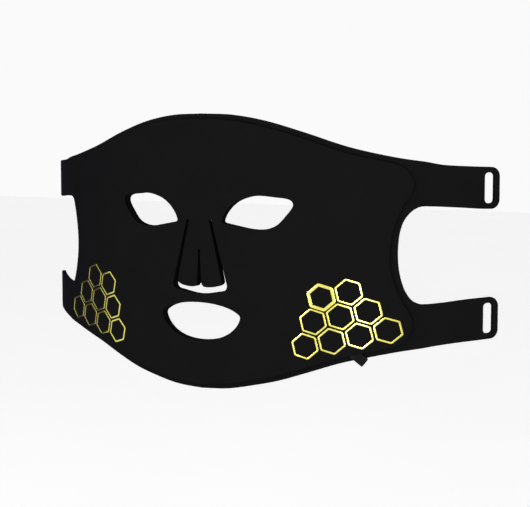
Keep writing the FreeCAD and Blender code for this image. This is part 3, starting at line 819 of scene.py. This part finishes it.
def build_arm(level, side):
    run = upper_run if level > 0 else lower_run
    loop = list(run)
    kinds = [1] + [0] * (len(run) - 2) + [1]
    mid = seam_points(run[-1], run[0])
    loop += mid
    kinds += [2] * len(mid)
    z = SLOT_CENTRE[level]
    low, high = z - SLOT_HEIGHT / 2, z + SLOT_HEIGHT / 2
    slot = rounded([(SLOT[0], low), (SLOT[1], low), (SLOT[1], high), (SLOT[0], high)],
                   SLOT_CORNER, 0.8)
    if side < 0:
        loop = [(-s, h) for s, h in loop]
        slot = [(-s, h) for s, h in slot]
    mesh = bmesh.new()
    sheet(mesh, [Loop(loop, kinds, front=0.9, back=0.8),
                 Loop(slot, hole=True, front=0.5, back=0.5)], *CARRIER, pitch=2.6, shade_slot=1)
    tag = "%s_%s" % ("upper" if level > 0 else "lower", "left" if side > 0 else "right")
    obj = finished("strap_arm_%s_skin" % tag, mesh, [CARRIER_M, WALL_SHADE_M])
    place(side * ARM_BEND[0], z, MID)
    place(side * ARM_BEND[1], z, MID)
    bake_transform(obj)
    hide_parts("strap_arm_" + tag)


def build_liner():
    """The sheet against the skin, with a round lens over each emitter."""
    extra = []
    for s, z, _ in LEDS:
        extra.append((s, z))
        for k, r in enumerate((0.6, 1.2, 1.7, 2.1, 2.45, 2.9)):
            n = 8 + 2 * k
            extra += [(s + r * math.cos(2 * math.pi * (i + k * 0.5) / n),
                       z + r * math.sin(2 * math.pi * (i + k * 0.5) / n)) for i in range(n)]
    centres = np.array([(s, z) for s, z, _ in LEDS])

    def dome(s, z):
        r = math.sqrt(((centres - (s, z)) ** 2).sum(1).min()) / LENS_RADIUS
        if r >= 1:
            return 0.0
        return LENS_RISE * (1 - r * r) ** 0.75

    mesh = bmesh.new()
    loops = [Loop(liner_line, front=0.1, back=0.35)]
    for line, lip in ((eye_left, 3.0), (eye_right, 3.0), (nose, 1.6), (mouth, 3.0)):
        loops.append(Loop(grown(line, lip), hole=True, front=0.1, back=0.35))
    sheet(mesh, loops, *LINER, extra=extra, dome=dome, steps=3)
    obj = finished("skin_liner_sheet", mesh, [LINER_M])
    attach(obj, "mask_panel")
    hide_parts("skin_liner")


# Rings of an emitter, from the film to the middle of its lens: a body of half width,
# half height, corner radius and depth, then a lens of radius and depth.
LED_BODY = [(1.40, 1.75, 0.35, 3.36), (1.40, 1.75, 0.35, 3.95), (1.33, 1.68, 0.33, 4.06),
            (1.20, 1.55, 0.30, 4.10)]
LED_LENS = [(1.12, 4.10), (1.05, 3.98), (0.8, 4.0), (0.45, 4.08), (0.12, 4.11)]
LED_SIDES = 24


def led_rings(s, z):
    """Points of one emitter's rings, each with LED_SIDES of them."""
    for w, h, r, d in LED_BODY:
        ring = []
        for cx, cz, a in ((1, 1, 0), (-1, 1, 90), (-1, -1, 180), (1, -1, 270)):
            ring += arc(cx * (w - r), cz * (h - r), r, a, a + 90, LED_SIDES // 4 - 1)
        yield [place(s + x, z + y, d) for x, y in ring]
    turn = 360 / LED_SIDES
    for r, d in LED_LENS:
        angles = [math.radians((i + 0.5) * turn) for i in range(LED_SIDES)]
        yield [place(s + r * math.cos(a), z + r * math.sin(a), d) for a in angles]


def build_leds():
    """Small packages with a round lens, facing the skin."""
    for kind, lens in (("red", RED_M), ("infrared", INFRA_M)):
        mesh = bmesh.new()
        for s, z, own in LEDS:
            if own != kind:
                continue
            last = None
            for k, points in enumerate(led_rings(s, z)):
                ring = [mesh.verts.new(p) for p in points]
                for i in range(LED_SIDES if last else 0):
                    j = (i + 1) % LED_SIDES
                    face = mesh.faces.new((last[i], last[j], ring[j], ring[i]))
                    face.material_index = 1 if k > len(LED_BODY) else 0
                last = ring
            mesh.faces.new(last).material_index = 1
        obj = finished("led_packages_" + kind, mesh, [PACKAGE_M, lens])
        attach(obj, "mask_panel")
        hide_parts("leds_" + kind)


# ---- honeycomb trims ----------------------------------------------------

# Section of a bar: offset across it in line widths, and height over the cover.
TRIM_SECTION = [(-0.50, -0.05), (-0.50, 0.28), (-0.47, 0.39), (-0.42, 0.44), (-0.36, 0.45),
                (0.0, 0.45), (0.36, 0.45), (0.42, 0.44), (0.47, 0.39), (0.50, 0.28),
                (0.50, -0.05)]


def hexagon(i, j):
    """Rounded outline of one cell of the honeycomb, on the front projection."""
    down = HEX_TILT - math.radians(120)
    cx = HEX_FIRST[0] + HEX_PITCH * (i * math.cos(HEX_TILT) + j * math.cos(down))
    cz = HEX_FIRST[1] + HEX_PITCH * (i * math.sin(HEX_TILT) + j * math.sin(down))
    corners = []
    for q in range(6):
        a = HEX_TILT + math.pi / 2 + q * math.pi / 3
        corners.append((cx + HEX_RADIUS * math.cos(a), cz + HEX_RADIUS * math.sin(a)))
    return rounded(corners, 1.1, 1.0)


def build_trim(side):
    mesh = bmesh.new()
    for cell, spot in enumerate(HEX_CELLS):
        line = HEX_KEY_LINE if cell == 0 and side > 0 else HEX_LINE
        path = hexagon(*spot)
        p, n = np.array(path), normals(path)
        rings = []
        for t, h in TRIM_SECTION:
            rings.append([mesh.verts.new(place(side * along(x), z, -h))
                          for x, z in p + n * (t * line)])
        m = len(path)
        for a, b in zip(rings, rings[1:]):
            for k in range(m):
                e = (k + 1) % m
                face = (a[k], a[e], b[e], b[k])
                mesh.faces.new(face if side > 0 else face[::-1])
    bmesh.ops.recalc_face_normals(mesh, faces=mesh.faces)
    name = "left" if side > 0 else "right"
    obj = finished("honeycomb_%s_trim" % name, mesh, [GOLD_M])
    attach(obj, "mask_panel")
    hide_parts("honeycomb_" + name)


# ---- power inlet --------------------------------------------------------

def port_frame():
    """Axes at the inlet's mouth: out along it, across it, out of the sheet."""
    a = plan_angle(PORT_AT[0])
    t = Vector((math.cos(a), math.sin(a), 0))
    out = t * math.cos(PORT_TILT) + Vector((0, 0, -math.sin(PORT_TILT)))
    normal = Vector((math.sin(a), -math.cos(a), 0))
    return place(*PORT_AT), (out, normal.cross(out), normal)


def superring(mesh, origin, axes, x, size, power, wide=1.0, n=40):
    """A ring across the inlet: power 2 is a circle, 8 or 9 a square with soft corners."""
    out, across, normal = axes
    ring = []
    for i in range(n):
        a = 2 * math.pi * (i + 0.5) / n
        c, s = math.cos(a), math.sin(a)
        r = size / (abs(c) ** power + abs(s) ** power) ** (1 / power)
        p = origin + (out * x + across * (r * c * wide) + normal * (r * s)) * 0.001
        ring.append(mesh.verts.new(p))
    return ring


def ringed(rows, name, material, solid=False):
    """Object of rings (x, size, power, width) along the inlet's axis; solid shuts its ends."""
    origin, axes = port_frame()
    mesh = bmesh.new()
    rings = [superring(mesh, origin, axes, *row) for row in rows]
    for a, b in zip(rings, rings[1:]):
        for i in range(len(a)):
            j = (i + 1) % len(a)
            mesh.faces.new((a[i], a[j], b[j], b[i]))
    if solid:
        mesh.faces.new(rings[0][::-1])
        mesh.faces.new(rings[-1])
    bmesh.ops.recalc_face_normals(mesh, faces=mesh.faces)
    return finished(name, mesh, [material])


def build_port():
    shell = [(-13.8, 2.2, 8), (-13.95, 2.35, 8), (-13.6, 2.5, 9), (-5.0, 2.5, 9), (-4.8, 2.44, 9),
             (-4.55, 2.44, 9), (-4.35, 2.5, 9), (-0.45, 2.5, 9), (-0.15, 2.42, 8),
             (-0.02, 2.25, 7)]
    bore = [(0.0, 2.08, 2), (-0.08, 2.0, 2), (-0.25, 1.95, 2), (-11.6, 1.95, 2)]
    obj = ringed([(*row, 1.28) for row in shell] + bore, "port_housing_body", PORT_M, True)
    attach(obj, "mask_panel")
    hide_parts("port_housing")
    sleeve = [(-10.0, 1.25), (-10.0, 1.88), (-0.35, 1.88), (-0.16, 1.84), (-0.06, 1.72),
              (-0.03, 1.56), (-0.07, 1.42), (-0.2, 1.30), (-0.45, 1.25), (-9.99, 1.25)]
    obj = ringed([(*row, 2) for row in sleeve], "port_sleeve_ring", NICKEL_M)
    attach(obj, "mask_panel")
    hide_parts("port_sleeve")


def dress(node, material):
    """Gives a carried-over CAD node its procedural material."""
    obj = nodes[node]
    for i in range(max(1, len(obj.material_slots))):
        if i < len(obj.material_slots):
            obj.material_slots[i].material = material
        else:
            obj.data.materials.append(material)


# ---- studio -------------------------------------------------------------

def build_floor():
    bpy.ops.mesh.primitive_plane_add(size=14.0, location=(0, 0, -0.42))
    floor = bpy.context.object
    floor.name = "floor"
    m = Shader("pale_floor", Specular_IOR_Level=0.0)
    m.put(m.ramp(m.noise(3.0, 2.0), [(0.3, (0.90, 0.90, 0.90)), (0.7, (0.92, 0.92, 0.92))]),
          "Base Color")
    m.bsdf.inputs["Roughness"].default_value = 0.9
    m.bsdf.inputs["Emission Color"].default_value = (1, 1, 1, 1)
    m.bsdf.inputs["Emission Strength"].default_value = 0.375
    floor.data.materials.append(m.m)
    floor.visible_glossy = False


def build_world():
    """White to the camera; the light comes from a room that is lit on one side."""
    world = bpy.context.scene.world or bpy.data.worlds.new("studio")
    bpy.context.scene.world = world
    world.use_nodes = True
    tree = world.node_tree
    seen = tree.nodes["Background"]
    seen.inputs["Color"].default_value = (1, 1, 1, 1)
    seen.inputs["Strength"].default_value = 0.955
    where = tree.nodes.new("ShaderNodeTexCoord").outputs["Generated"]

    def half_room(toward, least, full, dark, light):
        """A background that is lit on one side; the dark side has its own tint."""
        side = tree.nodes.new("ShaderNodeVectorMath")
        side.operation = "DOT_PRODUCT"
        side.inputs[1].default_value = Vector(toward).normalized()
        tree.links.new(where, side.inputs[0])
        level = tree.nodes.new("ShaderNodeMapRange")
        level.interpolation_type = "SMOOTHSTEP"
        level.inputs["From Min"].default_value = least
        level.inputs["From Max"].default_value = full
        tree.links.new(side.outputs["Value"], level.inputs["Value"])
        tint = tree.nodes.new("ShaderNodeMix")
        tint.data_type = "RGBA"
        tint.inputs[6].default_value = (*dark, 1.0)
        tint.inputs[7].default_value = (*light, 1.0)
        tree.links.new(level.outputs["Result"], tint.inputs["Factor"])
        room = tree.nodes.new("ShaderNodeBackground")
        tree.links.new(tint.outputs[2], room.inputs["Color"])
        return room.outputs["Background"]

    def either(fac, a, b):
        mix = tree.nodes.new("ShaderNodeMixShader")
        for source, socket in zip((fac, a, b), mix.inputs):
            tree.links.new(source, socket)
        return mix.outputs["Shader"]

    path = tree.nodes.new("ShaderNodeLightPath").outputs
    soft = half_room((0.54, -0.83, 0.1), -0.12, 0.10, (0.04, 0.04, 0.04), (1, 1, 1))
    glints = half_room((0.259, -0.966, 0.0), -0.03, 0.02, (0.06, 0.063, 0.15), (1, 1, 1))
    lit = either(path["Is Glossy Ray"], soft, glints)
    shown = either(path["Is Camera Ray"], lit, seen.outputs["Background"])
    tree.links.new(shown, tree.nodes["World Output"].inputs["Surface"])


def build_lamps():
    for name, at, size, power in (("key", (-0.3, -1.7, 1.2), 0.5, 6.0),
                                  ("fill", (1.5, -1.1, 0.5), 0.7, 4.0),
                                  ("strip_low", (0.12, -1.5, -0.14), 0.16, 1.6),
                                  ("strip_side", (0.72, -1.3, -0.16), 0.2, 2.2),
                                  ("kicker", (-1.3, -0.3, 0.9), 0.2, 2.0)):
        light = bpy.data.lights.new(name, "AREA")
        light.energy = power
        light.size = size
        lamp = bpy.data.objects.new(name, light)
        lamp.location = at
        lamp.rotation_euler = (-Vector(at)).to_track_quat("-Z", "Y").to_euler()
        bpy.context.scene.collection.objects.link(lamp)


def build_camera():
    camera = bpy.data.cameras.new("camera")
    camera.sensor_width = 36.0
    camera.lens = 97.4
    eye = bpy.data.objects.new("camera", camera)
    eye.location = (0.5058, -0.8035, 0.0855)
    az, el = math.radians(29.53), math.radians(5.19)
    forward = Vector((-math.sin(az) * math.cos(el), math.cos(az) * math.cos(el), -math.sin(el)))
    eye.rotation_euler = forward.to_track_quat("-Z", "Y").to_euler()
    bpy.context.scene.collection.objects.link(eye)
    bpy.context.scene.camera = eye


build_cover()
build_tongue()
build_flap(1)
build_flap(-1)
build_carrier()
for arm_level in (1, -1):
    for arm_side in (1, -1):
        build_arm(arm_level, arm_side)
build_liner()
build_leds()
build_trim(1)
build_trim(-1)
build_port()
for cad_node, cad_material in (("led_flex", FLEX_M), ("driver_board", BOARD_M),
                               ("driver_chip", CHIP_M), ("board_inductor", CHIP_M),
                               ("board_resistors", RESISTOR_M),
                               ("lead_positive", LEAD_RED_M),
                               ("lead_negative", LEAD_BLACK_M), ("port_contact", BRASS_M)):
    dress(cad_node, cad_material)
build_floor()
bpy.context.scene.view_settings.view_transform = "Standard"
build_world()
build_lamps()
build_camera()
